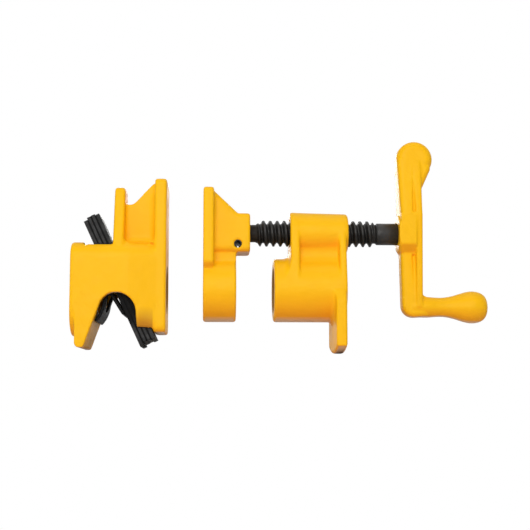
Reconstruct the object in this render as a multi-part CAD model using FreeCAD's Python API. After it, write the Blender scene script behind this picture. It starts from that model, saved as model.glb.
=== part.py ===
import FreeCAD, Part
import math
import os
from FreeCAD import Vector

# Pipe clamp: a screw head, a sliding front jaw and a clutch-held tail jaw, all on one steel pipe.
# Frame, in millimetres: the pipe's axis is X, the crank is towards +X, +Z is up, and the origin
# is the middle of the mouth that the pipe is screwed into. The pipe itself isn't part of the clamp.

# ---- the pipe and the heights above it ----
pipe_od = 26.67
pipe_slip = 0.415
pipe_thread_root_r = 13.2
screw_rise = 35.0
foot_drop = 35.5
casting_edge_r = 1.3
cove_overlap = 0.05

# ---- clamp screw ----
thread_pitch = 25.4 / 6
thread_crest_r = 7.94
thread_depth = 2.15
thread_crest_width = 1.1
thread_root_width = 3.3
thread_length = 73.2
nut_slack = 0.08
thread_runout = 0.35
shank_r = 6.65
shank_length = 13.6
neck_r = 5.35
neck_showing = 3.9
tip_r = 7.1
tip_length = 7.0
tip_chamfer = 0.8
tip_slack = 0.08
tang_side = 8.6
peen_r = 6.4
peen_low_r = 4.6
peen_depth = 1.6
rivet_slack = 0.05

# ---- head ----
head_length = 43.6
nut_proud = 1.7
column_setback = 10.0
rim_thick = 5.4
back_rim_thick = 4.3
nut_wall_front = 4.9
nut_wall_back = 4.1
barrel_wall = 5.45
column_cove_r = 9.0
foot_width = 46.0
foot_low = 38.2
foot_belly = 4.0
foot_plate_thick = 6.5
foot_setback = 0.85
foot_hip = 7.5
foot_blend_r = 3.0
pipe_thread_length = 20.0
pipe_stop_r = 11.0
head_blend_r = 4.5
nut_mouth_chamfer = 0.8

# ---- front jaw ----
jaw_to_head = 22.7
ring_length = 19.8
jaw_width = 38.0
jaw_plate_thick = 6.4
jaw_top = 61.0
jaw_plate_low = 15.5
jaw_plate_skirt = 5.0
jaw_corner_r = 3.5
journal_wall = 4.8
journal_drop = 0.8
journal_corner_r = 3.5
journal_overhang = 8.4
gusset_run = 15.2
gusset_inset = 0.2
jaw_web_width = 20.0
roll_pin_od = 4.6
roll_pin_bore = 3.2
roll_pin_slot = 0.9
roll_pin_slack = 0.1
roll_pin_inset = 7.4

# ---- crank handle ----
hub_r = 11.8
hub_thick = 21.0
hub_length = 14.4
hub_under_bevel = 4.8
arm_width = 13.3
arm_thick = 11.6
arm_corner_r = 2.6
arm_round = 3.0
back_rib_width = 3.9
back_rib_thick = 13.4
back_groove_width = 2.6
back_groove_depth = 2.0
paddle_reach = 46.5
paddle_r = 11.1
paddle_lean = 1.4
paddle_throat = 0.48
paddle_thick = 13.0
paddle_edge_r = 4.6
grip_drop = 44.8
grip_length = 40.4
grip_neck_r = 5.85
grip_knob_r = 9.8
grip_knob_end = 8.9
grip_corner_r = 3.2

# ---- tail jaw ----
jaw_opening = 21.7
tail_jaw_width = 39.0
tail_plate_thick = 7.1
tail_top = 65.5
tail_plate_low = 26.5
body_length = 49.1
body_width = 45.0
body_top = 27.2
body_low = 28.5
body_top_r = 10.0
body_low_r = 16.0
cheek_low = 26.2
cheek_low_r = 6.0
pipe_land_rear = 12.0
pipe_land_front = 10.0
pipe_core_relief = 0.9
post_thick = 6.4
post_top_width = 19.0
post_top = 61.5
post_foot_width = 43.8
post_foot_r = 3.0
post_to_plate = 18.1
brace_width = 15.0
brace_dip = 51.2
brace_dip_flat = 4.6
brace_dip_r = 5.0
brace_foot_r = 5.0
brace_end_r = 4.0
leg_inset = 3.1
leg_toe = 5.9
leg_top = 11.0
arch_to_plate = 11.1
arch_span = 17.9
arch_top = -3.1
arch_left_r = 9.8
arch_right_r = 11.6
arch_flare = 0.357
arch_right_flare = 2.4

# ---- clutch: plates 1 to 4 count from the rearmost ----
clutch_count = 4
clutch_thick = 2.5
clutch_gap = 0.06
clutch_width = 35.0
clutch_length = 81.6
clutch_top_reach = 17.3
clutch_hole_r = 14.3
clutch_hole_above_low_end = 36.6
clutch_hole_stretch = 1.6
clutch_tilt = 24.9
clutch_corner_r = 1.2
clutch_side_slack = 0.4
clutch_face_slack = 0.35
clutch_setback = 0.9
clutch_wall_drop = 16.0
clutch_bearing_rise = 1.3
clutch_swing = 20.0
clutch_slips = (-0.8, 0.45, 0.65, 0.0)
spring_thick = 1.8
spring_width = 34.4
spring_tip_z = -15.0
spring_arm_run = 8.6
spring_arm_rise = 13.5
spring_bend_run = 2.4
spring_bend_drop = 7.0
spring_curl_z = -19.3
spring_curl_bulge = 0.9
spring_seat_gap = 0.25
spring_pipe_gap = 0.2

# ---- places worked out from the sizes above ----
pipe_bore_r = pipe_od / 2 + pipe_slip
barrel_r = pipe_bore_r + barrel_wall
nut_bore_r = thread_crest_r + nut_slack
column_x = column_setback
head_back_x = head_length
ring_back_x = -jaw_to_head
clamp_face_x = ring_back_x - ring_length
journal_end_x = ring_back_x + journal_overhang
thread_start_x = journal_end_x + neck_showing
thread_end_x = thread_start_x + thread_length
hub_face_x = thread_end_x + shank_length
tail_face_x = clamp_face_x - jaw_opening
tail_plate_x = tail_face_x - tail_plate_thick
tail_end_x = tail_plate_x - body_length

AXIS_X = Vector(1, 0, 0)
AXIS_Y = Vector(0, 1, 0)


def on_xz(u, v):
    return Vector(u, 0, v)


def on_yz(u, v):
    return Vector(0, u, v)


def rounded_wire(corners, place):
    """Closed outline through (u, v, radius) corners, each one replaced by a tangent arc."""
    points = [place(corner[0], corner[1]) for corner in corners]
    count = len(corners)
    entries, middles, leavings = [], [], []
    for i, point in enumerate(points):
        back = (points[i - 1] - point).normalize()
        ahead = (points[(i + 1) % count] - point).normalize()
        half = back.getAngle(ahead) / 2
        radius = corners[i][2]
        inward = (back + ahead).normalize()
        entries.append(point + back * (radius / math.tan(half)))
        leavings.append(point + ahead * (radius / math.tan(half)))
        middles.append(point + inward * (radius / math.sin(half) - radius))
    edges = []
    for i in range(count):
        if corners[i][2] > 0:
            edges.append(Part.Arc(entries[i], middles[i], leavings[i]).toShape())
        following = entries[(i + 1) % count]
        if (following - leavings[i]).Length > 1e-6:
            edges.append(Part.LineSegment(leavings[i], following).toShape())
    return Part.Wire(edges)


def slab_y(corners, y0, y1):
    """Solid between y0 and y1 whose side view is the rounded outline of (x, z, radius) corners."""
    face = Part.Face(rounded_wire(corners, on_xz))
    face.translate(Vector(0, y0, 0))
    return face.extrude(Vector(0, y1 - y0, 0))


def slab_x(corners, x0, x1):
    """Solid between x0 and x1 whose end view is the rounded outline of (y, z, radius) corners."""
    face = Part.Face(rounded_wire(corners, on_yz))
    face.translate(Vector(x0, 0, 0))
    return face.extrude(Vector(x1 - x0, 0, 0))


def box(x0, x1, y0, y1, z0, z1):
    return Part.makeBox(x1 - x0, y1 - y0, z1 - z0, Vector(x0, y0, z0))


def rod_x(x0, x1, radius, z=0.0):
    return Part.makeCylinder(radius, x1 - x0, Vector(x0, 0, z), AXIS_X)


def cone_x(x0, x1, r0, r1, z=0.0):
    return Part.makeCone(r0, r1, x1 - x0, Vector(x0, 0, z), AXIS_X)


def turned_x(stations, z=0.0):
    """Solid turned about the line y = 0 at height z from (x, radius) stations, ends on the axis."""
    points = [Vector(stations[0][0], 0, z)]
    points += [Vector(x, 0, z + r) for x, r in stations]
    points += [Vector(stations[-1][0], 0, z), points[0]]
    face = Part.Face(Part.makePolygon(points))
    return face.revolve(Vector(0, 0, z), AXIS_X, 360)


def soften(shape, radius, wanted):
    """Round the edges that wanted(edge) picks."""
    picked = [edge for edge in shape.Edges if wanted(edge)]
    return shape.makeFillet(radius, picked)


def across_x(edge):
    """True for an edge that lies in one plane across the X axis, as a slab's rim does."""
    span = edge.BoundBox
    return span.XLength < 1e-4


def across_y(edge):
    return edge.BoundBox.YLength < 1e-4


def belt_corners(z_top, r_top, z_low, r_low):
    """Points where the outer tangents of two circles on the line y = 0 touch them, half width first."""
    lean = math.asin((r_low - r_top) / (z_top - z_low))
    top = (r_top * math.cos(lean), z_top + r_top * math.sin(lean))
    low = (r_low * math.cos(lean), z_low + r_low * math.sin(lean))
    return top, low


def belt_x(x0, x1, z_top, r_top, z_low, r_low):
    """Solid between x0 and x1: two discs on one upright centre line, with the tangents joining them."""
    top, low = belt_corners(z_top, r_top, z_low, r_low)
    edges = [
        Part.Arc(on_yz(-top[0], top[1]), on_yz(0, z_top + r_top), on_yz(top[0], top[1])).toShape(),
        Part.LineSegment(on_yz(top[0], top[1]), on_yz(low[0], low[1])).toShape(),
        Part.Arc(on_yz(low[0], low[1]), on_yz(0, z_low - r_low), on_yz(-low[0], low[1])).toShape(),
        Part.LineSegment(on_yz(-low[0], low[1]), on_yz(-top[0], top[1])).toShape(),
    ]
    face = Part.Face(Part.Wire(edges))
    face.translate(Vector(x0, 0, 0))
    return face.extrude(Vector(x1 - x0, 0, 0))


def cove_x(plane_x, reach, radius, z=0.0):
    """Ring that fills the corner between a round bar of this radius and a wall across X.

    The ring lies on the side of the wall that reach points to, and its face is a quarter circle.
    """
    size = abs(reach)
    side = math.copysign(1.0, reach)
    inner = radius - 0.4
    wall = plane_x - side * 0.4
    lean = size * (1 - math.sqrt(0.5))
    start = Vector(plane_x + reach, 0, z + radius)
    middle = Vector(plane_x + side * lean, 0, z + radius + lean)
    end = Vector(plane_x, 0, z + radius + size)
    edges = [
        Part.Arc(start, middle, end).toShape(),
        Part.LineSegment(end, Vector(wall, 0, z + radius + size)).toShape(),
        Part.LineSegment(Vector(wall, 0, z + radius + size), Vector(wall, 0, z + inner)).toShape(),
        Part.LineSegment(Vector(wall, 0, z + inner), Vector(plane_x + reach, 0, z + inner)).toShape(),
        Part.LineSegment(Vector(plane_x + reach, 0, z + inner), start).toShape(),
    ]
    return Part.Face(Part.Wire(edges)).revolve(Vector(0, 0, z), AXIS_X, 360)


# ---- head: barrel for the pipe, nut for the screw above it, and the foot it stands on ----
def head_body():
    boss_front_r = nut_bore_r + nut_wall_front
    boss_back_r = nut_bore_r + nut_wall_back
    back_rim_x = head_back_x - back_rim_thick
    foot_back_x = head_back_x - foot_setback
    foot_x = foot_back_x - foot_plate_thick
    barrel = soften(rod_x(0, head_back_x, barrel_r), casting_edge_r, across_x)
    nut_end_x = head_back_x + nut_proud
    boss = cone_x(column_x, nut_end_x, boss_front_r, boss_back_r, screw_rise)
    front_rim = belt_x(column_x, column_x + rim_thick, screw_rise, boss_front_r, 0, barrel_r)
    back_rim = belt_x(back_rim_x, head_back_x, screw_rise, boss_back_r, 0, barrel_r)
    web = column_web(column_x + 1, head_back_x - 1, boss_back_r)
    foot = foot_plate(foot_x, foot_back_x)
    foot = soften(foot, casting_edge_r, lambda edge: across_x(edge) and edge.BoundBox.ZMin < -0.1)
    # quarter-round blends, cut off where the wall behind them ends
    front_blend = cove_x(column_x, -head_blend_r, barrel_r).common(
        belt_x(column_x - head_blend_r, column_x + 1, screw_rise, boss_front_r, 0, barrel_r))
    foot_blend = cove_x(foot_x, -foot_blend_r, barrel_r).common(
        foot_plate(foot_x - foot_blend_r, foot_x + 1))
    body = barrel.multiFuse([
        soften(boss, casting_edge_r, across_x), soften(front_rim, casting_edge_r, across_x),
        soften(back_rim, casting_edge_r, across_x), web, foot, front_blend, foot_blend])
    nut_mouth_r = nut_bore_r + nut_mouth_chamfer
    hollows = [
        rod_x(column_x - head_blend_r, nut_end_x + 1, nut_bore_r, screw_rise),
        cone_x(column_x - 0.01, column_x + nut_mouth_chamfer, nut_mouth_r, nut_bore_r, screw_rise),
        cone_x(nut_end_x - nut_mouth_chamfer, nut_end_x + 0.01, nut_bore_r, nut_mouth_r, screw_rise),
        rod_x(-1, pipe_thread_length, pipe_thread_root_r),
        rod_x(0, head_back_x + 1, pipe_stop_r)]
    return body.cut(hollows)


def column_web(x0, x1, boss_r):
    """Web between the barrel and a nut boss of this radius, whose hollow sides run into both."""
    top_r = boss_r - cove_overlap
    low_r = barrel_r - cove_overlap
    top_reach = top_r + column_cove_r
    low_reach = low_r + column_cove_r
    cove_z = (low_reach ** 2 - top_reach ** 2 + screw_rise ** 2) / (2 * screw_rise)
    cove_y = math.sqrt(low_reach ** 2 - cove_z ** 2)
    top_share = top_r / top_reach
    low_share = low_r / low_reach
    top = (cove_y * top_share, screw_rise + (cove_z - screw_rise) * top_share)
    low = (cove_y * low_share, cove_z * low_share)
    web = slab_x([
        (0, screw_rise, 0), (top[0], top[1], 0), (low[0], low[1], 0),
        (0, 0, 0), (-low[0], low[1], 0), (-top[0], top[1], 0)], x0, x1)
    sides = [Part.makeCylinder(column_cove_r, x1 - x0, Vector(x0, side * cove_y, cove_z), AXIS_X)
             for side in (-1, 1)]
    return web.cut(sides)


def foot_plate(x0, x1):
    """The head's foot between x0 and x1: it flares out below the barrel to a bellied bottom edge."""
    flank = foot_width / 2
    heel = foot_low - foot_belly
    edges = [
        Part.LineSegment(on_yz(-barrel_r, 0), on_yz(barrel_r, 0)).toShape(),
        Part.LineSegment(on_yz(barrel_r, 0), on_yz(flank, -foot_hip)).toShape(),
        Part.LineSegment(on_yz(flank, -foot_hip), on_yz(flank, -heel)).toShape(),
        Part.Arc(on_yz(flank, -heel), on_yz(0, -foot_low), on_yz(-flank, -heel)).toShape(),
        Part.LineSegment(on_yz(-flank, -heel), on_yz(-flank, -foot_hip)).toShape(),
        Part.LineSegment(on_yz(-flank, -foot_hip), on_yz(-barrel_r, 0)).toShape()]
    face = Part.Face(Part.Wire(edges))
    face.translate(Vector(x0, 0, 0))
    return face.extrude(Vector(x1 - x0, 0, 0))


# ---- front jaw: clamp plate, ring round the pipe, and the blind journal that the screw pushes ----
pin_x = journal_end_x - roll_pin_inset
pin_r = roll_pin_od / 2
pin_z = screw_rise - neck_r - roll_pin_slack - pin_r
journal_half = tip_r + tip_slack + journal_wall
tip_front_x = pin_x - pin_r - 3 * roll_pin_slack
journal_floor_x = tip_front_x - tip_length - 3 * tip_slack
pin_half_length = journal_half - 2 * roll_pin_slack


def front_jaw():
    plate_back_x = clamp_face_x + jaw_plate_thick
    flank = jaw_width / 2
    low = jaw_plate_low
    plate = slab_x([
        (-flank, jaw_top, jaw_corner_r),
        (flank, jaw_top, jaw_corner_r),
        (flank, low, jaw_plate_skirt / 2),
        (flank - jaw_plate_skirt, low - jaw_plate_skirt, 0),
        (jaw_plate_skirt - flank, low - jaw_plate_skirt, 0),
        (-flank, low, jaw_plate_skirt / 2)], clamp_face_x, plate_back_x)
    plate = soften(plate, casting_edge_r, lambda edge: across_x(edge) and edge.BoundBox.ZMax > low)
    ring = soften(rod_x(clamp_face_x, ring_back_x, barrel_r), casting_edge_r, across_x)
    journal_z = screw_rise - journal_drop
    journal = slab_x([
        (-journal_half, journal_z - journal_half, journal_corner_r),
        (journal_half, journal_z - journal_half, journal_corner_r),
        (journal_half, journal_z + journal_half, journal_corner_r),
        (-journal_half, journal_z + journal_half, journal_corner_r)], plate_back_x - 1, journal_end_x)
    journal = soften(journal, casting_edge_r, across_x)
    gusset_top = jaw_top - casting_edge_r
    shoulder = journal_z + journal_half * 0.93
    gusset = slab_y([
        (plate_back_x - 1, gusset_top + 1, 0),
        (plate_back_x + gusset_run, shoulder, 2 * casting_edge_r),
        (plate_back_x + gusset_run + 1, screw_rise, 0),
        (plate_back_x - 1, screw_rise, 0)], gusset_inset - journal_half, journal_half - gusset_inset)
    gusset = soften(gusset, 2 * casting_edge_r, lambda edge: across_y(edge) and slopes(edge))
    web = box(clamp_face_x + 1, ring_back_x, -jaw_web_width / 2, jaw_web_width / 2, 0, screw_rise)
    body = ring.multiFuse([plate, journal, gusset, web])
    hollows = [
        rod_x(clamp_face_x - 1, ring_back_x + 1, pipe_bore_r),
        rod_x(journal_floor_x, journal_end_x + 1, tip_r + tip_slack, screw_rise),
        Part.makeCylinder(pin_r, 3 * journal_half, Vector(pin_x, -1.5 * journal_half, pin_z), AXIS_Y)]
    return body.cut(hollows)


def slopes(edge):
    """True for an edge that is neither level nor upright, seen from the side."""
    span = edge.BoundBox
    return span.XLength > 2 and span.ZLength > 2


def roll_pin():
    """Rolled spring pin: a tube with a lengthwise slot on the side away from the screw."""
    start = Vector(pin_x, -pin_half_length, pin_z)
    wall = Part.makeCylinder(pin_r - 0.01, 2 * pin_half_length, start, AXIS_Y)
    bore = Part.makeCylinder(roll_pin_bore / 2, 2 * pin_half_length, start, AXIS_Y)
    slot = box(pin_x - roll_pin_slot / 2, pin_x + roll_pin_slot / 2,
               -pin_half_length, pin_half_length, pin_z - 2 * pin_r, pin_z - roll_pin_bore / 4)
    return wall.cut([bore, slot])


# ---- clamp screw: rolled thread, plain shank, necked tip held by the roll pin, riveted tang ----
hub_back_x = hub_face_x + hub_length


def thread_ridge(root_r):
    """One rounded thread ridge, right-handed, wound about the screw's axis over the threaded length."""
    half_root = thread_root_width / 2
    half_crest = thread_crest_width / 2
    end_room = half_root + thread_runout
    helix = Part.makeHelix(thread_pitch, thread_length - 2 * end_room, root_r)
    foot_r = root_r - 0.3
    shoulder_r = root_r + 0.8 * thread_depth
    crest_r = root_r + thread_depth
    profile = Part.makePolygon([
        Vector(foot_r, 0, -half_root),
        Vector(shoulder_r, 0, -half_crest - 0.25),
        Vector(crest_r, 0, -half_crest / 2),
        Vector(crest_r, 0, half_crest / 2),
        Vector(shoulder_r, 0, half_crest + 0.25),
        Vector(foot_r, 0, half_root),
        Vector(foot_r, 0, -half_root)])
    ridge = Part.Wire(helix).makePipeShell([profile], True, True)
    ridge.rotate(Vector(0, 0, 0), AXIS_Y, 90)
    ridge.translate(Vector(thread_start_x + end_room, 0, screw_rise))
    return ridge


def clamp_screw():
    root_r = thread_crest_r - thread_depth
    tip_start_x = tip_front_x - tip_length
    core = turned_x([
        (tip_start_x, tip_r - tip_chamfer),
        (tip_start_x + tip_chamfer, tip_r),
        (tip_front_x, tip_r),
        (tip_front_x, neck_r),
        (thread_start_x, neck_r),
        (thread_start_x, root_r),
        (thread_end_x - thread_runout, root_r),
        (thread_end_x + thread_runout, shank_r),
        (hub_face_x, shank_r)], screw_rise)
    half = tang_side / 2
    tang = box(hub_face_x - 1, hub_back_x - rivet_slack, -half, half, screw_rise - half, screw_rise + half)
    peen = cone_x(hub_back_x - peen_depth + rivet_slack, hub_back_x - rivet_slack,
                  peen_low_r - rivet_slack, peen_r - 2 * rivet_slack, screw_rise)
    return core.fuse(thread_ridge(root_r)).multiFuse([tang, peen])


# ---- crank handle: one casting with a hub, a paddle above it and an offset grip below ----
def crank_handle():
    right_x = hub_back_x
    rib_x = right_x - back_rib_width
    arm_x = right_x - arm_width
    paddle_x = arm_x + paddle_r - paddle_lean
    paddle_z = screw_rise + paddle_reach
    throat_z = screw_rise + paddle_throat * paddle_reach
    grip_z = screw_rise - grip_drop
    grip_end_x = right_x + grip_length
    groove_x = rib_x - back_groove_width
    hub_half = hub_thick / 2
    arm_half = arm_thick / 2
    rib_half = back_rib_thick / 2
    paddle_half = paddle_thick / 2
    hub_top_z = screw_rise + hub_r
    hub_low_z = screw_rise - hub_r
    hub = slab_x([
        (-arm_half, hub_low_z, casting_edge_r),
        (-hub_half, hub_low_z + hub_under_bevel, casting_edge_r),
        (-hub_half, hub_top_z, 0),
        (hub_half, hub_top_z, 0),
        (hub_half, hub_low_z + hub_under_bevel, casting_edge_r),
        (arm_half, hub_low_z, casting_edge_r)], arm_x, rib_x)
    collar = soften(rod_x(hub_face_x, arm_x + 4, hub_r, screw_rise), casting_edge_r, across_x)
    collar = collar.common(box(hub_face_x, arm_x + 4, -hub_half, hub_half, 0, 2 * screw_rise))
    upper = arm_between((arm_x, hub_top_z, hub_half),
                        (arm_x - paddle_lean, paddle_z, paddle_half), right_x - 0.1)
    throat = slab_y([
        (paddle_x, throat_z, 0),
        (right_x - 0.3, throat_z, 0),
        (right_x - 0.1, throat_z + 0.09 * paddle_reach, 8),
        (paddle_x + 0.95 * paddle_r, paddle_z - 4.5, 3),
        (paddle_x, paddle_z, 0)], -paddle_half, paddle_half)
    throat = soften(throat, arm_corner_r, lambda edge: across_y(edge) and edge.CenterOfMass.x > right_x - 1)
    paddle = Part.makeCylinder(paddle_r, paddle_thick, Vector(paddle_x, -paddle_half, paddle_z), AXIS_Y)
    paddle = soften(paddle, paddle_edge_r, across_y)
    lower = slab_y([
        (arm_x, screw_rise, 0),
        (arm_x + 1.0, grip_z - grip_neck_r - 1.0, 1.25 * grip_neck_r),
        (right_x + 3.0, grip_z - grip_neck_r, 0),
        (right_x + 3.0, grip_z, 0),
        (right_x + 0.6, grip_z, 0),
        (right_x - 0.3, screw_rise, 0)], -arm_half, arm_half)
    lower = soften(lower, arm_corner_r, lambda edge: across_y(edge) and edge.BoundBox.XLength < 12)
    rib = rib_between(rib_x, right_x, grip_z, rib_half, hub_top_z, hub_half)
    corner = corner_arc(Vector(right_x, 0, grip_z + grip_neck_r + 0.4),
                        Vector(grip_corner_r, 0, 0), Vector(0, 0, grip_corner_r))
    corner.translate(Vector(0, -grip_corner_r, 0))
    grip_corner = corner.extrude(Vector(0, 2 * grip_corner_r, 0))
    grip = turned_spline([
        (right_x - 6, grip_neck_r + 0.3),
        (right_x + 3, grip_neck_r + 0.5),
        (right_x + 11, grip_neck_r),
        (grip_end_x - 2.2 * grip_knob_end, grip_neck_r + 1.6),
        (grip_end_x - grip_knob_end, grip_knob_r),
        (grip_end_x - 0.4 * grip_knob_end, 0.86 * grip_knob_r),
        (grip_end_x, 0)], grip_z)
    body = hub.multiFuse([collar, upper, throat, paddle, lower, rib, grip, grip_corner])
    top_end = (hub_top_z + 1, hub_half - back_groove_depth)
    top_tip = (paddle_z - 5, paddle_half + 0.5)
    low_end = (hub_low_z - 1, arm_half - 0.8 * back_groove_depth)
    low_tip = (grip_z + grip_neck_r, arm_half + 0.3)
    grooves = []
    for side in (-1, 1):
        grooves.append(groove(groove_x, back_groove_width, top_end, top_tip, side))
        grooves.append(groove(groove_x, back_groove_width, low_end, low_tip, side))
    half = tang_side / 2 + rivet_slack
    hole = box(hub_face_x - 1, hub_back_x + 1, -half, half, screw_rise - half, screw_rise + half)
    sink = cone_x(hub_back_x - peen_depth, hub_back_x + 0.01, peen_low_r, peen_r, screw_rise)
    return body.cut(grooves + [hole, sink])


def groove(x, width, end, tip, side):
    """Long cutter for a groove in the arm's face: blunt and deep at the end, run out at the tip.

    The end and the tip are each a height and the distance of the groove's floor from y = 0.
    """
    clear = side * hub_thick
    wires = []
    for (z, floor), inset in ((end, 0.1), (tip, 0.4)):
        wires.append(Part.makePolygon([
            Vector(x + inset * width, clear, z),
            Vector(x + inset * width, side * floor, z),
            Vector(x + width - inset * width, side * floor, z),
            Vector(x + width - inset * width, clear, z),
            Vector(x + inset * width, clear, z)]))
    return Part.makeLoft(wires, True, True)


def arm_between(low, top, back_x):
    """Arm with rounded corners between two (front x, z, half thickness) sections."""
    wires = []
    for front_x, z, half in (low, top):
        wires.append(rounded_wire(
            [(front_x, -half, arm_round), (back_x, -half, casting_edge_r), (back_x, half, casting_edge_r),
             (front_x, half, arm_round)],
            lambda x, y: Vector(x, y, z)))
    return Part.makeLoft(wires, True, True)


def rib_between(x0, x1, z0, half0, z1, half1):
    """Rib on the back of the arm, with its free corners rounded."""
    wires = []
    for z, half in ((z0, half0), (z1, half1)):
        wires.append(rounded_wire(
            [(x0, -half, casting_edge_r / 2), (x1, -half, casting_edge_r), (x1, half, casting_edge_r),
             (x0, half, casting_edge_r / 2)],
            lambda x, y: Vector(x, y, z)))
    return Part.makeLoft(wires, True, True)


def turned_spline(stations, z):
    """Solid turned about the line y = 0 at height z from a smooth curve through (x, radius) points."""
    points = [Vector(x, 0, z + r) for x, r in stations]
    curve = Part.BSplineCurve()
    curve.interpolate(Points=points, FinalTangent=Vector(0, 0, -1), InitialTangent=AXIS_X)
    start = Vector(stations[0][0], 0, z)
    edges = [
        curve.toShape(),
        Part.LineSegment(points[-1], start).toShape(),
        Part.LineSegment(start, points[0]).toShape()]
    return Part.Face(Part.Wire(edges)).revolve(Vector(0, 0, z), AXIS_X, 360)


# ---- tail jaw: clamp plate and braced post on a body that straddles the clutch plates ----
post_x = tail_plate_x - post_to_plate - post_thick
arch_right_x = tail_plate_x - arch_to_plate
arch_left_top_x = arch_right_x - arch_span
lean = math.radians(clutch_tilt)
pivot_x = post_x - clutch_setback - clutch_face_slack / math.cos(lean)
pivot_z = body_top + clutch_bearing_rise
stack_thick = clutch_count * clutch_thick + (clutch_count - 1) * clutch_gap


def stack_face_x(z, tilt_deg, depth):
    """Where the plane that lies depth behind the clutch's front face is, at height z and this tilt."""
    tilt = math.radians(tilt_deg)
    return pivot_x - depth / math.cos(tilt) - (z - pivot_z) * math.tan(tilt)


def body_section(half_width, low, low_r):
    return [
        (-half_width, body_top, body_top_r),
        (half_width, body_top, body_top_r),
        (half_width, -low, low_r),
        (-half_width, -low, low_r)]


def tail_body():
    half = body_width / 2
    taper_x = tail_plate_x - 0.3 * body_length
    flank = tail_jaw_width / 2
    barrel = slab_x(body_section(half, body_low, body_low_r), tail_end_x, taper_x)
    barrel = soften(barrel, 1.6, lambda edge: across_x(edge) and edge.CenterOfMass.x < tail_end_x + 1)
    near = rounded_wire(body_section(half, body_low, body_low_r), on_yz)
    near.translate(Vector(taper_x, 0, 0))
    far = rounded_wire(body_section(flank, cheek_low, cheek_low_r), on_yz)
    far.translate(Vector(tail_plate_x + 1.4 * casting_edge_r, 0, 0))
    flare = Part.makeLoft([near, far], True, True)
    plate = slab_x([
        (-flank, tail_top, jaw_corner_r),
        (flank, tail_top, jaw_corner_r),
        (flank, -tail_plate_low, jaw_corner_r),
        (-flank, -tail_plate_low, jaw_corner_r)], tail_plate_x, tail_face_x)
    plate = soften(plate, casting_edge_r, across_x)
    post_half = post_top_width / 2
    foot_half = post_foot_width / 2
    shoulder_z = body_top - body_top_r
    post = slab_x([
        (-post_half, post_top, jaw_corner_r),
        (post_half, post_top, jaw_corner_r),
        (foot_half, shoulder_z, 0),
        (-foot_half, shoulder_z, 0)], post_x, post_x + post_thick)
    post = soften(post, casting_edge_r, lambda edge: across_x(edge) and edge.BoundBox.ZMax > shoulder_z + 1)
    post_back_x = post_x + post_thick
    brace = slab_y([
        (post_back_x - 1, brace_dip, 0),
        (post_back_x - 1, shoulder_z, 0),
        (tail_plate_x + 1, shoulder_z, 0),
        (tail_plate_x + 1, tail_top - 0.8, 0),
        (tail_plate_x - 1.6, tail_top - 1.4, 3),
        (post_back_x + brace_dip_flat, brace_dip, brace_dip_r)], -brace_width / 2, brace_width / 2)
    deck_blends = [corner_fill(post_back_x, post_foot_r, foot_half - body_top_r / 2),
                   corner_fill(tail_plate_x, -post_foot_r, flank - 1.5)]
    for side in (-1, 1):
        deck_blends.append(brace_foot(side, post_back_x, tail_plate_x))
        deck_blends.append(brace_end(side, tail_plate_x))
    toe_x = tail_end_x + leg_inset
    leg = slab_y([
        (toe_x, -leg_top, 0),
        (toe_x + 0.2, -foot_drop, 0.45 * leg_toe),
        (toe_x + leg_toe, -foot_drop, 0.45 * leg_toe),
        (arch_left_x(-leg_top) + 4, -leg_top, 0)], -half, half)
    body = barrel.multiFuse([flare, plate, post, brace, leg] + deck_blends)
    core = rod_x(tail_end_x + pipe_land_rear, tail_face_x - pipe_land_front, pipe_bore_r + pipe_core_relief)
    pipe_bore = rod_x(tail_end_x - 1, tail_face_x + 1, pipe_bore_r)
    return body.cut([arch(), clutch_slot(), pipe_bore, core])


def corner_arc(corner, along, up):
    """Face that fills a square inside corner with a quarter round; along and up span its two legs."""
    lean = 1 - math.sqrt(0.5)
    side = corner + along
    head = corner + up
    middle = corner + along * lean + up * lean
    sunk = corner - along * 0.3 - up * 0.3
    edges = [
        Part.Arc(side, middle, head).toShape(),
        Part.LineSegment(head, head - along * 0.3).toShape(),
        Part.LineSegment(head - along * 0.3, sunk).toShape(),
        Part.LineSegment(sunk, side - up * 0.3).toShape(),
        Part.LineSegment(side - up * 0.3, side).toShape()]
    return Part.Face(Part.Wire(edges))


def brace_foot(side, x0, x1):
    """Quarter-round blend along the foot of the brace, on one side of it."""
    corner = Vector(x0, side * brace_width / 2, body_top)
    face = corner_arc(corner, Vector(0, side * brace_foot_r, 0), Vector(0, 0, brace_foot_r))
    return face.extrude(Vector(x1 - x0 + 0.5, 0, 0))


def brace_end(side, x):
    """Upright quarter-round blend between one side of the brace and the clamp plate at x."""
    corner = Vector(x, side * brace_width / 2, body_top)
    face = corner_arc(corner, Vector(0, side * brace_end_r, 0), Vector(-brace_end_r, 0, 0))
    return face.extrude(Vector(0, 0, tail_top - body_top - 2 * brace_end_r))


def corner_fill(x, reach, half_width):
    """Quarter-round blend across the deck, at the foot of a wall whose face is at x."""
    corner = Vector(x, -half_width, body_top)
    face = corner_arc(corner, Vector(reach, 0, 0), Vector(0, 0, abs(reach)))
    return face.extrude(Vector(0, 2 * half_width, 0))


def arch_left_x(z):
    """The arch's left side, the leg's inner face, at height z."""
    return arch_left_top_x + arch_flare * (z - arch_top)


def arch():
    """Cutter for the arch under the pipe, where the clutch's low ends are squeezed."""
    low = -foot_drop - 5
    return slab_y([
        (arch_right_x + arch_right_flare, low, 0),
        (arch_right_x, arch_top, arch_right_r),
        (arch_left_top_x, arch_top, arch_left_r),
        (arch_left_x(low), low, 0)], -body_width, body_width)


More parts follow.
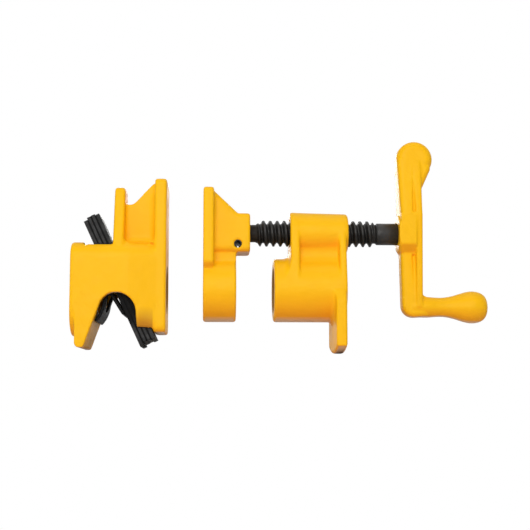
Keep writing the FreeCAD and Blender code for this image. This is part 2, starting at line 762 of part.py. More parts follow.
def clutch_slot():
    half = clutch_width / 2 + clutch_side_slack
    high = body_top + 12
    low = -foot_drop - 5
    wall_top_x = stack_face_x(high, clutch_tilt, stack_thick + clutch_face_slack)
    wall_low_z = -clutch_wall_drop
    wall_low_x = stack_face_x(wall_low_z, clutch_tilt - clutch_swing, stack_thick + clutch_face_slack)
    front_top_x = stack_face_x(high, clutch_tilt, -clutch_face_slack)
    front_low_x = stack_face_x(low, clutch_tilt, -clutch_face_slack)
    return slab_y([
        (wall_top_x - 1.5, high, 0),
        (wall_low_x - 0.4, wall_low_z, 0),
        (arch_right_x - 6, low, 0),
        (front_low_x, low, 0),
        (front_top_x, high, 0)], -half, half)


# ---- clutch: steel plates that tilt on the pipe and bite it, and the spring that tilts them ----
def clutch_plate(index):
    """One plate, counted from the rearmost; each one rests a little up or down from the others."""
    back = (clutch_count - index) * clutch_thick + (clutch_count - 1 - index) * clutch_gap
    top = clutch_top_reach + clutch_slips[index]
    low = top - clutch_length
    half = clutch_width / 2
    plate = slab_x([
        (-half, top, clutch_corner_r),
        (half, top, clutch_corner_r),
        (half, low, clutch_corner_r),
        (-half, low, clutch_corner_r)], -back, -back + clutch_thick)
    centre = low + clutch_hole_above_low_end
    rise = clutch_hole_stretch / 2
    hole = rod_x(-back - 1, -back + clutch_thick + 1, clutch_hole_r, centre + rise)
    hole = hole.fuse(rod_x(-back - 1, -back + clutch_thick + 1, clutch_hole_r, centre - rise))
    hole = hole.fuse(box(-back - 1, -back + clutch_thick + 1, -clutch_hole_r, clutch_hole_r,
                         centre - rise, centre + rise))
    plate = plate.cut(hole.removeSplitter())
    plate.rotate(Vector(0, 0, 0), AXIS_Y, -clutch_tilt)
    plate.translate(Vector(pivot_x, 0, pivot_z))
    return plate


def clutch_spring():
    """Bent strip: a straight arm against the rearmost plate and a curled arm against the leg."""
    standoff = spring_seat_gap + spring_thick / 2
    plate_face = stack_face_x(spring_tip_z, clutch_tilt, stack_thick + standoff)
    tip = Vector(plate_face, 0, spring_tip_z)
    fold = Vector(tip.x - spring_arm_run, 0, tip.z + spring_arm_rise)
    curl_start = Vector(fold.x - spring_bend_run, 0, fold.z - spring_bend_drop)
    curl_end = Vector(arch_left_x(spring_curl_z) + standoff / math.cos(math.atan(arch_flare)),
                      0, spring_curl_z)
    chord = curl_end - curl_start
    bulge = Vector(-chord.z, 0, chord.x).normalize() * spring_curl_bulge
    curl_middle = curl_start + chord * 0.5 + bulge
    path = [
        Part.LineSegment(tip, fold).toShape(),
        Part.LineSegment(fold, curl_start).toShape(),
        Part.Arc(curl_start, curl_middle, curl_end).toShape()]
    outline = Part.Wire(path).makeOffset2D(spring_thick / 2)
    face = Part.Face(outline)
    face.translate(Vector(0, -spring_width / 2, 0))
    strip = face.extrude(Vector(0, spring_width, 0))
    return strip.cut(rod_x(curl_end.x - 1, tip.x + 1, pipe_od / 2 + spring_pipe_gap))


shapes = {
    "head_body": head_body(),
    "front_jaw": front_jaw(),
    "jaw_roll_pin": roll_pin(),
    "clamp_screw": clamp_screw(),
    "crank_handle": crank_handle(),
    "tail_body": tail_body(),
}
for index in range(clutch_count):
    shapes["clutch_plate_" + str(index + 1)] = clutch_plate(index)
shapes["clutch_spring"] = clutch_spring()

os.makedirs("parts", exist_ok=True)
for name, shape in shapes.items():
    solid = shape.Solids[0]
    print(name, len(shape.Solids), solid.isValid(), round(solid.Volume), solid.optimalBoundingBox())
    solid.exportStep("parts/" + name + ".step")
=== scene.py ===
import bpy
import bmesh
import numpy as np
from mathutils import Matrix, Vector


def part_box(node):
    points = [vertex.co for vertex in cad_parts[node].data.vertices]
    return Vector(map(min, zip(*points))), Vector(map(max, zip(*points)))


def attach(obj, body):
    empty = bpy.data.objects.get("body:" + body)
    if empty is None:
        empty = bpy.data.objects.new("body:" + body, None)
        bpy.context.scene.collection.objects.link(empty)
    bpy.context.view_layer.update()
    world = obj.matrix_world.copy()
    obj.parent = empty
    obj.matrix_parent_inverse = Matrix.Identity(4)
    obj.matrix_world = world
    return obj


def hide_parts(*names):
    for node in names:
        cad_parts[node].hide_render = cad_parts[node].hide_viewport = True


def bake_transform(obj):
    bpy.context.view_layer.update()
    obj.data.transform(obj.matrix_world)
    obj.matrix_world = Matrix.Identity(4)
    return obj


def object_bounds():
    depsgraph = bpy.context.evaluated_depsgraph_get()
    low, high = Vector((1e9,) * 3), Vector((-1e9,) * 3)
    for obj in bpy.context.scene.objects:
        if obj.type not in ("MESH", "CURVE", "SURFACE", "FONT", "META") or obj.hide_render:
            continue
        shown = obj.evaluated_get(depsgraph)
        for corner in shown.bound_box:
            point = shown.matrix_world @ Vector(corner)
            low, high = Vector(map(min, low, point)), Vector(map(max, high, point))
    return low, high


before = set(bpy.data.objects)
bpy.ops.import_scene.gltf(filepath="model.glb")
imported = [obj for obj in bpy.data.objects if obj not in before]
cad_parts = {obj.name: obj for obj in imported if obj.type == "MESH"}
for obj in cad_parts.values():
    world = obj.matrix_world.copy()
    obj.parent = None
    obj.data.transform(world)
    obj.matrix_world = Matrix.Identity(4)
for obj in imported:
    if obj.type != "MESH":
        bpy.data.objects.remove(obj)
solid_box = [list(corner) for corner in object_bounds()]
mm = 0.001


# ---- Head ----
# Grey iron sand casting that carries the pipe socket below and the nut for the screw above.
# It is shaken out, ground at the parting line and dipped in yellow stove enamel, which pools
# in the corners and runs thin over the edges.
enamel_colour = (0.98, 0.520, 0.006, 1)
enamel_pooled = (0.92, 0.440, 0.005, 1)
# Painted shade: deeper orange for faces that look down.
underside_shade_colour = (0.96, 0.370, 0.012, 1)
enamel_thin = (1.0, 0.60, 0.030, 1)
# Painted reflection of the pale floor on faces that look straight down.
floor_reflection_colour = (0.74, 0.52, 0.36, 1)
# Bare brown iron of the bores, which also stands as painted shade inside the bore and over the core seen
# through the tail's arch.
bare_bore_and_shade_colour = (0.34, 0.180, 0.050, 1)
# Painted dark shade for recesses and for the tail's arch.
painted_shade_dark = (0.030, 0.018, 0.010, 1)
enamel_rough = (0.34, 0.46)
enamel_gloss = 0.10

# Where each shade of the enamel starts and where it is full, and its share of the colour at each:
# by the clouds, the bend of the surface, how far it faces up (painted shade on undersides and a
# painted floor reflection on faces looking straight down) and how open it is to the sky (painted
# shade in recesses).
clouded_where = (0.35, 0.7, 0.0, 0.16)
pooled_where = (0.49, 0.42, 0.0, 0.22)
thin_where = (0.53, 0.60, 0.0, 0.8)
underside_shade_where = (0.0, -0.8, 0.0, 0.9)
floor_reflection_where = (-0.85, -0.98, 0.0, 0.85)
recess_shade_where = (0.40, 0.10, 0.0, 0.9)
recess_reach = 12 * mm
sky_samples = 8
cloud_size = 16 * mm
gloss_patch_size = 5 * mm
wave_size = 7 * mm
wave_depth = 0.35 * mm
peel_size = 1.1 * mm
peel_depth = 0.035 * mm
bore_edge = 14.75 * mm
bore_blur = 0.2 * mm
head_cell = 0.62 * mm
casting_passes = 6
weld_distance = 1e-6


def wire(tree, source, target):
    """Joins one node's output to another's input."""
    tree.links.new(source, target)


def grain(tree, coordinates, size, detail, roughness=0.5):
    """Cloudy value from 0 to 1 whose lumps are about size metres across."""
    node = tree.nodes.new("ShaderNodeTexNoise")
    node.inputs["Scale"].default_value = 1 / size
    node.inputs["Detail"].default_value = detail
    node.inputs["Roughness"].default_value = roughness
    wire(tree, coordinates, node.inputs["Vector"])
    return node.outputs["Fac"]


def spread(tree, value, low, high, out_low=0.0, out_high=1.0):
    """The value stretched from low..high to out_low..out_high, and held at both ends."""
    node = tree.nodes.new("ShaderNodeMapRange")
    node.inputs["From Min"].default_value = low
    node.inputs["From Max"].default_value = high
    node.inputs["To Min"].default_value = out_low
    node.inputs["To Max"].default_value = out_high
    wire(tree, value, node.inputs["Value"])
    return node.outputs["Result"]


# A Mix node's sockets for its share, its two colours and its mixed colour.
mix_share, mix_below, mix_above, mix_result = 0, 6, 7, 2


def tint(tree, share, below, above):
    """Colour that goes from below to above as share goes from 0 to 1."""
    node = tree.nodes.new("ShaderNodeMix")
    node.data_type = "RGBA"
    wire(tree, share, node.inputs[mix_share])
    for socket, colour in ((node.inputs[mix_below], below), (node.inputs[mix_above], above)):
        if isinstance(colour, tuple):
            socket.default_value = colour
        else:
            wire(tree, colour, socket)
    return node.outputs[mix_result]


def relief(tree, height, depth, below=None):
    """Bump of this depth in metres, laid over the bump below it."""
    node = tree.nodes.new("ShaderNodeBump")
    node.inputs["Strength"].default_value = 1.0
    node.inputs["Distance"].default_value = depth
    wire(tree, height, node.inputs["Height"])
    if below:
        wire(tree, below, node.inputs["Normal"])
    return node.outputs["Normal"]


def new_finish(name):
    """An empty material with its nodes, its shader and the place of each point on the clamp."""
    material = bpy.data.materials.new(name)
    material.use_nodes = True
    tree = material.node_tree
    shader = tree.nodes["Principled BSDF"]
    place = tree.nodes.new("ShaderNodeTexCoord").outputs["Object"]
    return material, tree, shader, place


def near_axis(tree, place, reach):
    """1 where the distance from the X axis is below reach, and 0 further out."""
    flat = tree.nodes.new("ShaderNodeVectorMath")
    flat.operation = "MULTIPLY"
    flat.inputs[1].default_value = (0, 1, 1)
    wire(tree, place, flat.inputs[0])
    distance = tree.nodes.new("ShaderNodeVectorMath")
    distance.operation = "LENGTH"
    wire(tree, flat.outputs["Vector"], distance.inputs[0])
    return spread(tree, distance.outputs["Value"], reach, reach - bore_blur)


def stove_enamel(name, bored, shade_marks=()):
    """Yellow enamel on a cast skin: orange peel, slow waves of the casting, deeper colour in corners.

    Undersides get a deeper orange as painted shade, and faces that look straight down a greyer
    tone as a painted reflection of the pale floor. On a bored casting the iron round the pipe's axis
    is bare and brown, which also paints shade into the bore, and deep recesses get painted dark
    shade. Each shade mark is a share and its colour, also painted shade.
    """
    material, tree, shader, place = new_finish(name)
    bend = tree.nodes.new("ShaderNodeNewGeometry").outputs["Pointiness"]
    facing = tree.nodes.new("ShaderNodeSeparateXYZ")
    wire(tree, tree.nodes.new("ShaderNodeTexCoord").outputs["Normal"], facing.inputs[0])
    clouded = spread(tree, grain(tree, place, cloud_size, detail=3), *clouded_where)
    pooled = spread(tree, bend, *pooled_where)
    # Painted shade on faces that look down.
    underside_shade = spread(tree, facing.outputs["Z"], *underside_shade_where)
    # Painted floor reflection on faces that look straight down.
    floor_reflection = spread(tree, facing.outputs["Z"], *floor_reflection_where)
    thin = spread(tree, bend, *thin_where)
    colour = tint(tree, clouded, enamel_colour, enamel_pooled)
    colour = tint(tree, pooled, colour, enamel_pooled)
    colour = tint(tree, underside_shade, colour, underside_shade_colour)
    colour = tint(tree, floor_reflection, colour, floor_reflection_colour)
    colour = tint(tree, thin, colour, enamel_thin)
    if bored:
        # Painted dark shade in recesses, by how open each point is to the sky.
        open_sky = tree.nodes.new("ShaderNodeAmbientOcclusion")
        open_sky.inputs["Distance"].default_value = recess_reach
        open_sky.samples = sky_samples
        open_sky.only_local = True
        recess_shade = spread(tree, open_sky.outputs["AO"], *recess_shade_where)
        colour = tint(tree, recess_shade, colour, painted_shade_dark)
        # Painted shade marks laid on top.
        for shade_mark, shade_mark_colour in shade_marks:
            colour = tint(tree, shade_mark(tree, place), colour, shade_mark_colour)
        # Bare iron round the pipe's axis, partly real and partly painted shade in the bore.
        colour = tint(tree, near_axis(tree, place, bore_edge), colour, bare_bore_and_shade_colour)
    wire(tree, colour, shader.inputs["Base Color"])
    gloss_patches = grain(tree, place, gloss_patch_size, detail=4)
    wire(tree, spread(tree, gloss_patches, 0.3, 0.7, *enamel_rough), shader.inputs["Roughness"])
    shader.inputs["Specular IOR Level"].default_value = enamel_gloss
    waves = relief(tree, grain(tree, place, wave_size, detail=2), wave_depth)
    peel = relief(tree, grain(tree, place, peel_size, detail=2), peel_depth, waves)
    wire(tree, peel, shader.inputs["Normal"])
    return material


enamel = stove_enamel("bored_casting_enamel", bored=True)


def place_piece(name, mesh, finish, body, replaced=()):
    """Puts a finished mesh into the scene, smooth shaded, on its body, or on no body when none is given.
    """
    mesh.name = name
    mesh.materials.clear()
    mesh.materials.append(finish)
    mesh.shade_smooth()
    piece = bpy.data.objects.new(name, mesh)
    bpy.context.scene.collection.objects.link(piece)
    if body:
        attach(piece, body)
    if replaced:
        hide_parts(*replaced)
    return piece


def finished_mesh(node, modifiers):
    """Mesh of a solid's merged copy after the named modifiers, each with its settings."""
    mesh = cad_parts[node].data.copy()
    work = bmesh.new()
    work.from_mesh(mesh)
    bmesh.ops.remove_doubles(work, verts=work.verts, dist=weld_distance)
    work.to_mesh(mesh)
    work.free()
    rough = bpy.data.objects.new("rough", mesh)
    bpy.context.scene.collection.objects.link(rough)
    for kind, settings in modifiers:
        modifier = rough.modifiers.new(kind, kind)
        for key, value in settings.items():
            setattr(modifier, key, value)
    bpy.context.view_layer.update()
    finished = rough.evaluated_get(bpy.context.evaluated_depsgraph_get())
    shaped = bpy.data.meshes.new_from_object(finished)
    bpy.data.objects.remove(rough)
    return shaped


def rounded_skin(node, cell, passes):
    """Rounded skin: the solid resampled in cells, then each point drawn to its neighbours' middle."""
    return finished_mesh(node, [
        ("REMESH", {"mode": "VOXEL", "voxel_size": cell, "use_smooth_shade": True}),
        ("SMOOTH", {"factor": 0.5, "iterations": passes})])


place_piece("head_casting", rounded_skin("head_body", head_cell, casting_passes), enamel,
            "head", ["head_body"])


# ---- Thread of the pipe socket ----
# Taper pipe thread cut into the bare iron of the socket after casting, dark with cutting oil.
# Its crests stand in from the bore, 14 to the inch.
socket_pitch = 25.4 / 14 * mm
socket_start = 2.5 * mm
socket_end = 19.6 * mm
socket_root_r = 13.15 * mm
socket_depth = 1.0 * mm
socket_fade = 1.5 * mm
socket_rows = 170
thread_columns = 96
iron_dark = (0.05, 0.045, 0.04, 1)
iron_light = (0.12, 0.105, 0.09, 1)
iron_metallic = 0.7
iron_rough = (0.35, 0.55)
iron_cloud_size = 3 * mm
turning_size = 0.5 * mm
turning_depth = 0.03 * mm


def grid_mesh(name, points):
    """Mesh of quads over an array of points [along, round, 3], joined all the way round."""
    rows, columns = points.shape[:2]
    index = np.arange(rows * columns).reshape(rows, columns)
    index = np.hstack([index, index[:, :1]])
    corners = [index[:-1, :-1], index[1:, :-1], index[1:, 1:], index[:-1, 1:]]
    quads = np.stack(corners, -1).reshape(-1, 4)
    mesh = bpy.data.meshes.new(name)
    mesh.vertices.add(rows * columns)
    mesh.vertices.foreach_set("co", points.reshape(-1).astype(np.float32))
    mesh.loops.add(quads.size)
    mesh.loops.foreach_set("vertex_index", quads.reshape(-1).astype(np.int32))
    mesh.polygons.add(len(quads))
    mesh.polygons.foreach_set("loop_start", np.arange(0, quads.size, 4, dtype=np.int32))
    mesh.update(calc_edges=True)
    mesh.validate()
    return mesh


def turn_about_x(x, radius, angle, axis_z):
    """Points at the given distance round the line y = 0, z = axis_z; the angle runs from +Z to +Y."""
    return np.stack([x, radius * np.sin(angle), axis_z + radius * np.cos(angle)], -1)


def socket_thread():
    """Radius at x and angle a is the root's, less the depth times a rounded ridge.

    The ridge is half less three quarters of a cosine, held from 0 to 1. It repeats with
    x / pitch + a / turn, so it winds right-handed, and it fades at both ends.
    """
    x, angle = np.meshgrid(np.linspace(socket_start, socket_end, socket_rows),
                           np.linspace(0, 2 * np.pi, thread_columns, endpoint=False), indexing="ij")
    phase = x / socket_pitch + angle / (2 * np.pi)
    ridge = np.clip(0.5 - 0.75 * np.cos(2 * np.pi * phase), 0, 1)
    fade = np.clip(np.minimum(x - socket_start, socket_end - x) / socket_fade, 0, 1)
    radius = socket_root_r - socket_depth * ridge * fade
    return grid_mesh("socket_thread", turn_about_x(x, radius, angle, 0))


def bare_iron():
    """Cut grey iron under a film of oil: dull, with fine turning marks."""
    material, tree, shader, place = new_finish("bare_iron")
    clouds = spread(tree, grain(tree, place, iron_cloud_size, detail=4), 0.3, 0.7)
    wire(tree, tint(tree, clouds, iron_dark, iron_light), shader.inputs["Base Color"])
    shader.inputs["Metallic"].default_value = iron_metallic
    wire(tree, spread(tree, clouds, 0, 1, *iron_rough), shader.inputs["Roughness"])
    turning_marks = grain(tree, place, turning_size, detail=3)
    wire(tree, relief(tree, turning_marks, turning_depth), shader.inputs["Normal"])
    return material


place_piece("socket_thread", socket_thread(), bare_iron(), "head")


# ---- Front jaw ----
# Grey iron sand casting that slides on the pipe: clamp plate, ring and a blind journal that
# takes the screw's tip. Enamelled like the head.
jaw_cell = 0.6 * mm
place_piece("front_jaw_casting", rounded_skin("front_jaw", jaw_cell, casting_passes), enamel,
            "jaw", ["front_jaw"])


# ---- Roll pin ----
# Spring steel strip rolled into a slotted tube, blued, and driven across the journal beside the
# screw's neck, so that the jaw follows the screw both ways.
# Painted highlight: lighter grey for proud crests.
crest_highlight_grey = (0.065, 0.062, 0.060, 1)
# Painted black shade for seams and the clutch's arch.
seam_shade_black = (0.003, 0.003, 0.003, 1)
rubbed_where = (0.42, 0.68, 0.0, 1.0)
crest_highlight_where = (0.52, 0.60, 0.0, 0.6)
seam_shade_where = (0.97, 0.70, 0.0, 0.95)
patch_size = 6 * mm
scratch_size = 1.2 * mm
scratch_depth = 0.05 * mm
sharp_angle = 0.7
pin_edge = 0.25 * mm


def black_oxide(name, dark, light, metallic, gloss, rough, streak, seam=0.0, shade_mask=None):
    """Oil-blacked steel: deep grey with rubbed lighter patches and a fine, slightly streaked grain.

    Crests that stand proud get a painted grey highlight. With a seam, the gaps that wide get
    painted dark shade instead, and where the shade mask says so, the steel is painted black as shade.
    """
    material, tree, shader, place = new_finish(name)
    stretch = tree.nodes.new("ShaderNodeMapping")
    stretch.inputs["Scale"].default_value = streak
    wire(tree, place, stretch.inputs["Vector"])
    patches = grain(tree, place, patch_size, detail=5, roughness=0.65)
    colour = tint(tree, spread(tree, patches, *rubbed_where), dark, light)
    if seam:
        # Painted dark shade in gaps, from ambient occlusion.
        gap = tree.nodes.new("ShaderNodeAmbientOcclusion")
        gap.inputs["Distance"].default_value = seam
        gap.samples = sky_samples
        seam_shade = spread(tree, gap.outputs["AO"], *seam_shade_where)
        colour = tint(tree, seam_shade, colour, seam_shade_black)
    else:
        # Painted highlight on crests that stand proud.
        bend = tree.nodes.new("ShaderNodeNewGeometry").outputs["Pointiness"]
        crest_highlight = spread(tree, bend, *crest_highlight_where)
        colour = tint(tree, crest_highlight, colour, crest_highlight_grey)
    if shade_mask:
        colour = tint(tree, shade_mask(tree, place), colour, seam_shade_black)
    wire(tree, colour, shader.inputs["Base Color"])
    shader.inputs["Metallic"].default_value = metallic
    shader.inputs["Specular IOR Level"].default_value = gloss
    scratches = grain(tree, stretch.outputs["Vector"], scratch_size, detail=4, roughness=0.6)
    wire(tree, spread(tree, scratches, 0.3, 0.7, *rough), shader.inputs["Roughness"])
    wire(tree, relief(tree, scratches, scratch_depth), shader.inputs["Normal"])
    return material


def broken_edges(node, width, segments):
    """The solid with its sharp edges rounded off by width."""
    return finished_mesh(node, [
        ("BEVEL", {"width": width, "segments": segments, "limit_method": "ANGLE",
                   "angle_limit": sharp_angle})])


blued_pin = black_oxide("blued_pin", dark=(0.010, 0.010, 0.011, 1), light=(0.018, 0.018, 0.02, 1),
                        metallic=0.3, gloss=0.28, rough=(0.4, 0.6), streak=(1, 1, 1))
place_piece("roll_pin", broken_edges("jaw_roll_pin", pin_edge, 2), blued_pin, "jaw",
            ["jaw_roll_pin"])


# ---- Clamp screw ----
# Turned from bar with a rolled round-topped thread, six to the inch, then blacked in oil. The
# necked tip turns in the journal, and a square tang at the other end is riveted into the handle.
screw_z = 35.0 * mm
screw_pitch = 25.4 / 6 * mm
crest_r = 7.94 * mm
root_r = 5.75 * mm
ridge_height = 1.18
ridge_sharpness = 1.15
thread_fade = 2.6 * mm
thread_rows = 375
thread_x = np.linspace(20.9, 94.1, thread_rows) * mm
hair = 1e-9
(screw_low, screw_high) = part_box("clamp_screw")

# Distance from the tip and radius of the bar, up to the thread's start and from its end.
bar_before = np.array([
    [0.0, 0.0], [0.0, 6.2], [0.25, 6.75], [0.8, 7.1], [6.5, 7.1], [6.9, 6.9], [7.0, 6.6],
    [7.05, 5.35], [20.6, 5.35], [20.9, 5.75]]) * mm
bar_after = np.array([
    [93.9, 5.75], [94.4, 6.1], [94.9, 6.6], [95.3, 6.65], [107.7, 6.65], [107.7, 0.0]]) * mm


def screw_body():
    """Radius at x and angle a: a bar whose profile steps from tip to neck, thread and shank.

    In the threaded part the root gets a ridge whose height is a flattened cosine of
    x / pitch + a / turn, so it winds right-handed, and the ridge fades in and out at the ends.
    Steps of the bar that share an x are set a hair apart where the profile is read off.
    """
    bar = np.concatenate([bar_before, bar_after])
    along = np.concatenate([bar_before[:, 0], thread_x[1:-1], bar_after[:, 0]])
    plain = np.interp(along, bar[:, 0] + np.arange(len(bar)) * hair, bar[:, 1])
    plain[:len(bar_before)] = bar_before[:, 1]
    plain[-len(bar_after):] = bar_after[:, 1]
    angle = np.linspace(0, 2 * np.pi, thread_columns, endpoint=False)
    x, turn = np.meshgrid(along, angle, indexing="ij")
    phase = (x - thread_x[0]) / screw_pitch + turn / (2 * np.pi)
    ridge = 0.5 + 0.5 * np.cos(2 * np.pi * phase)
    ridge = np.clip(ridge_height * ridge ** ridge_sharpness, 0, 1)
    fade = np.clip(np.minimum(x - thread_x[0], thread_x[-1] - x) / thread_fade, 0, 1)
    radius = plain[:, None] + (crest_r - root_r) * ridge * fade * fade * (3 - 2 * fade)
    return grid_mesh("screw_body", turn_about_x(screw_low.x + x, radius, turn, screw_z))


steel = black_oxide("oil_blacked_steel", dark=(0.014, 0.013, 0.012, 1), light=(0.034, 0.032, 0.030, 1),
                    metallic=0.4, gloss=0.30, rough=(0.32, 0.52), streak=(0.5, 3, 3))
place_piece("screw_body", screw_body(), steel, "screw", ["clamp_screw"])


# ---- Rivet end of the clamp screw ----
# The screw's square end, hammered out into the countersink on the handle's far face, which
# fixes the handle for good. Blacked with the screw.
rivet_rings = np.array([[-1.5, 4.5], [-0.3, 6.1], [-0.1, 6.15], [0.0, 5.9], [0.0, 3.0], [0.0, 0.0]]) * mm
rivet_columns = 64
dish_depth = 0.12 * mm
dish_r = 4 * mm


def rivet_end():
    """Circles at the listed distances from the screw's end and of the listed radii.

    They make a cone that widens to a face, and those inside the dish are sunk by its depth.
    """
    ring, angle = np.meshgrid(np.arange(len(rivet_rings)),
                              np.linspace(0, 2 * np.pi, rivet_columns, endpoint=False), indexing="ij")
    radius = rivet_rings[ring, 1]
    x = screw_high.x + rivet_rings[ring, 0] - dish_depth * (radius < dish_r)
    return grid_mesh("rivet_end", turn_about_x(x, radius, angle, screw_z))


place_piece("rivet_end", rivet_end(), steel, "screw")


# ---- Crank handle ----
# One malleable iron casting, enamelled: hub, thumb paddle above it and a knob grip set off
# below. It sits on the screw's square end and turns with the screw.
crank_cell = 0.5 * mm
place_piece("crank_casting", rounded_skin("crank_handle", crank_cell, casting_passes),
            stove_enamel("crank_enamel", bored=False), "screw", ["crank_handle"])


# ---- Tail jaw ----
# Grey iron sand casting that straddles the clutch plates. Enamelled like the head, with painted
# dark shade inside the arch and the slot, where the plates work, and painted brown shade on the
# flanks beside the plates' low ends.
tail_cell = 0.75 * mm
clutch_middle = (-92 * mm, 0, -10 * mm)
# Painted dark shade inside the arch, where the photo's interior lies in shadow.
arch_shade_full = 11 * mm
arch_shade_none = 20 * mm
slot_half_width = 17.9 * mm
arch_shade_side_full = slot_half_width - 0.6 * mm
arch_shade_side_none = slot_half_width + 1.4 * mm
# Painted brown shade on the flanks between the arch and the clamp plate.
cheek_shade_colour = (0.46, 0.17, 0.020, 1)
cheek_shade_place = (-76 * mm, 0, -24 * mm)
cheek_shade_full = 3 * mm
cheek_shade_none = 13 * mm
cheek_shade_share = 0.75
clamp_plate_back = -71.3 * mm
cheek_shade_edge = 0.8 * mm


def round_a_line(tree, place, middle, full, none):
    """1 where the distance from the line across the clamp through middle is full, 0 at none."""
    level = tree.nodes.new("ShaderNodeVectorMath")
    level.operation = "MULTIPLY"
    level.inputs[1].default_value = (1, 0, 1)
    wire(tree, place, level.inputs[0])
    away = tree.nodes.new("ShaderNodeVectorMath")
    away.operation = "DISTANCE"
    away.inputs[1].default_value = middle
    wire(tree, level.outputs["Vector"], away.inputs[0])
    return spread(tree, away.outputs["Value"], none, full)


def joined(tree, operation, first, second):
    """One value made of two by the named operation of a Math node."""
    node = tree.nodes.new("ShaderNodeMath")
    node.operation = operation
    wire(tree, first, node.inputs[0])
    wire(tree, second, node.inputs[1])
    return node.outputs[0]


def arch_shade(tree, place):
    """Painted shade: 1 close to a line across the arch, fading to 0 further out and short of the flanks.
    """
    parts = tree.nodes.new("ShaderNodeSeparateXYZ")
    wire(tree, place, parts.inputs[0])
    aside = tree.nodes.new("ShaderNodeMath")
    aside.operation = "ABSOLUTE"
    wire(tree, parts.outputs["Y"], aside.inputs[0])
    inside = spread(tree, aside.outputs[0], arch_shade_side_none, arch_shade_side_full)
    near = round_a_line(tree, place, clutch_middle, arch_shade_full, arch_shade_none)
    return joined(tree, "MULTIPLY", near, inside)


def cheek_shade(tree, place):
    """Painted shade, strongest low on the flanks behind the clamp plate and fading out over about a
    centimetre.
    """
    parts = tree.nodes.new("ShaderNodeSeparateXYZ")
    wire(tree, place, parts.inputs[0])
    behind = spread(tree, parts.outputs["X"], clamp_plate_back, clamp_plate_back - cheek_shade_edge,
                    0, cheek_shade_share)
    near = round_a_line(tree, place, cheek_shade_place, cheek_shade_full, cheek_shade_none)
    return joined(tree, "MULTIPLY", near, behind)


# The tail's enamel gets painted shade on the flanks behind the clamp plate and inside the arch.
tail_enamel = stove_enamel("shaded_tail_enamel", bored=True, shade_marks=[
    (cheek_shade, cheek_shade_colour), (arch_shade, painted_shade_dark)])
place_piece("tail_casting", rounded_skin("tail_body", tail_cell, casting_passes), tail_enamel,
            "tail", ["tail_body"])


# ---- Clutch plates ----
# Four plates sheared from hot-rolled strip and blacked. Their edges show the shear's fine lines
# along the plate, and the seams between them and the plates inside the arch get painted dark shade.
plate_count = 4
stack_front = (-97.09 * mm, 0, 28.5 * mm)
into_stack = (-0.9070, 0, -0.4210)
leaf_thick = 2.5 * mm
leaf_gap = 0.06 * mm
leaf_edge = 0.45 * mm
seam_full = 0.32 * mm
seam_none = 0.62 * mm
seams_from = (1.0 * mm, 1.4 * mm)
seams_to = (9.2 * mm, 8.8 * mm)


def seam_and_arch_shade(tree, place):
    """Painted shade: 1 where two plates meet and inside the arch, 0 on the rest of the plates.

    The depth into the stack is folded back and forth over half a plate's pitch, so that it is 0 at
    each seam, and the stack's two outer faces are left out.
    """
    from_front = tree.nodes.new("ShaderNodeVectorMath")
    from_front.operation = "SUBTRACT"
    from_front.inputs[1].default_value = stack_front
    wire(tree, place, from_front.inputs[0])
    depth = tree.nodes.new("ShaderNodeVectorMath")
    depth.operation = "DOT_PRODUCT"
    depth.inputs[1].default_value = into_stack
    wire(tree, from_front.outputs["Vector"], depth.inputs[0])
    folded = tree.nodes.new("ShaderNodeMath")
    folded.operation = "PINGPONG"
    folded.inputs[1].default_value = (leaf_thick + leaf_gap) / 2
    wire(tree, depth.outputs["Value"], folded.inputs[0])
    seams = spread(tree, folded.outputs[0], seam_none, seam_full)
    for limits in (seams_from, seams_to):
        within = spread(tree, depth.outputs["Value"], *limits)
        seams = joined(tree, "MULTIPLY", seams, within)
    return joined(tree, "MAXIMUM", seams, arch_shade(tree, place))


# Painted dark shade in the seams between plates and inside the arch.
plate_steel = black_oxide("blacked_plate", dark=(0.028, 0.028, 0.028, 1), light=(0.058, 0.058, 0.059, 1),
                          metallic=0.0, gloss=0.05, rough=(0.42, 0.64), streak=(3, 1, 0.4),
                          seam=1.2 * mm, shade_mask=seam_and_arch_shade)
for number in range(1, plate_count + 1):
    node = "clutch_plate_" + str(number)
    place_piece("clutch_leaf_" + str(number), broken_edges(node, leaf_edge, 3), plate_steel,
                "clutch", [node])


# ---- Clutch spring ----
# Blued strip folded to a hairpin round the pipe: one arm bears on the rearmost plate and moves
# with it, and the other curls against the leg and stays.
spring_cell = 0.25 * mm
spring_passes = 2
# Painted dark shade in the spring's recesses and inside the arch.
spring_blue = black_oxide("blued_spring", dark=(0.012, 0.012, 0.013, 1), light=(0.020, 0.020, 0.022, 1),
                          metallic=0.0, gloss=0.08, rough=(0.40, 0.60), streak=(1, 3, 1),
                          seam=3 * mm, shade_mask=arch_shade)
spring = place_piece("clutch_hairpin", rounded_skin("clutch_spring", spring_cell, spring_passes),
                     spring_blue, None, ["clutch_spring"])
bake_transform(spring)


# ---- Floor ----
# Pale seamless sheet just under the foot. It is clear from below, where the viewer looks up
# past its edge.
floor_colour = (0.86, 0.86, 0.86, 1)
floor_rough = 0.9
floor_gap = 0.05 * mm
floor_z = solid_box[0][2] - floor_gap
floor_reach = 1.05
floor_corners = [(-floor_reach, -floor_reach, floor_z), (floor_reach, -floor_reach, floor_z),
                 (floor_reach, floor_reach, floor_z), (-floor_reach, floor_reach, floor_z)]
floor_mesh = bpy.data.meshes.new("floor")
floor_mesh.from_pydata(floor_corners, [], [(0, 1, 2, 3)])
pale = bpy.data.materials.new("pale_floor")
pale.use_nodes = True
pale_tree = pale.node_tree
pale_shader = pale_tree.nodes["Principled BSDF"]
pale_shader.inputs["Base Color"].default_value = floor_colour
pale_shader.inputs["Roughness"].default_value = floor_rough
pale_mix = pale_tree.nodes.new("ShaderNodeMixShader")
pale_clear = pale_tree.nodes.new("ShaderNodeBsdfTransparent")
pale_side = pale_tree.nodes.new("ShaderNodeNewGeometry").outputs["Backfacing"]
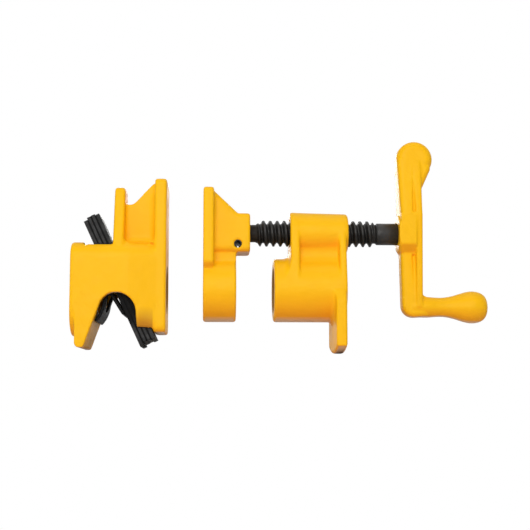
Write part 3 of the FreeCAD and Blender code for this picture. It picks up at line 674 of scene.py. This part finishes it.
wire(pale_tree, pale_side, pale_mix.inputs[0])
wire(pale_tree, pale_shader.outputs[0], pale_mix.inputs[1])
wire(pale_tree, pale_clear.outputs[0], pale_mix.inputs[2])
wire(pale_tree, pale_mix.outputs[0], pale_tree.nodes["Material Output"].inputs["Surface"])
floor_mesh.materials.append(pale)
floor_piece = bpy.data.objects.new("floor", floor_mesh)
bpy.context.scene.collection.objects.link(floor_piece)


# ---- Light ----
# One large soft source near the viewer, a second above, and weaker fill from both sides and from
# behind, in surroundings that look white and give a faint even light.
clamp_middle = (0, 0, 0.02)
ambient_strength = 0.15
white_strength = 1.0


def soft_light(name, place, size, power, aim=clamp_middle):
    """Square area light that faces the point aim."""
    light = bpy.data.lights.new(name, "AREA")
    light.shape = "SQUARE"
    light.size = size
    light.energy = power
    lamp = bpy.data.objects.new(name, light)
    bpy.context.scene.collection.objects.link(lamp)
    lamp.location = place
    lamp.rotation_mode = "QUATERNION"
    lamp.rotation_quaternion = (Vector(aim) - Vector(place)).to_track_quat("-Z", "Y")


soft_light("key", (-0.15, -1.15, 0.45), size=0.9, power=10.2)
soft_light("top", (0.1, -0.1, 1.2), size=0.9, power=3, aim=(0, 0, 0))
soft_light("fill_right", (1.1, -0.6, 0.3), size=0.7, power=0.7)
soft_light("fill_left", (-1.2, -0.5, 0.2), size=0.7, power=2.6)
soft_light("fill_back", (-0.12, 1.3, 0.35), size=0.3, power=3.0)

world = bpy.data.worlds.new("studio")
bpy.context.scene.world = world
world.use_nodes = True
world_tree = world.node_tree
world_tree.nodes.clear()


def white_surroundings(strength):
    """White light from all round at this strength."""
    node = world_tree.nodes.new("ShaderNodeBackground")
    node.inputs["Color"].default_value = (1, 1, 1, 1)
    node.inputs["Strength"].default_value = strength
    return node.outputs[0]


seen = world_tree.nodes.new("ShaderNodeLightPath")
white_for = seen.outputs["Is Camera Ray"]
for ray in ("Is Glossy Ray", "Is Transmission Ray"):
    white_for = joined(world_tree, "MAXIMUM", white_for, seen.outputs[ray])
world_mix = world_tree.nodes.new("ShaderNodeMixShader")
wire(world_tree, white_for, world_mix.inputs[0])
wire(world_tree, white_surroundings(ambient_strength), world_mix.inputs[1])
wire(world_tree, white_surroundings(white_strength), world_mix.inputs[2])
world_out = world_tree.nodes.new("ShaderNodeOutputWorld")
wire(world_tree, world_mix.outputs[0], world_out.inputs["Surface"])


# ---- Camera ----
# A long lens on the near side, a little below the foot and looking slightly up, so that the
# undersides of the castings just show.
looked_at = Vector((-0.0049, 0, 0.0157))
camera_data = bpy.data.cameras.new("viewer")
camera_data.sensor_width = 36
camera_data.lens = 74.72
camera_data.clip_start = 0.01
viewer = bpy.data.objects.new("viewer", camera_data)
bpy.context.scene.collection.objects.link(viewer)
viewer.location = (-0.0360, -0.66596, -0.06026)
viewer.rotation_mode = "QUATERNION"
viewer.rotation_quaternion = (looked_at - viewer.location).to_track_quat("-Z", "Y")
bpy.context.scene.camera = viewer
bpy.context.scene.view_settings.view_transform = "Standard"
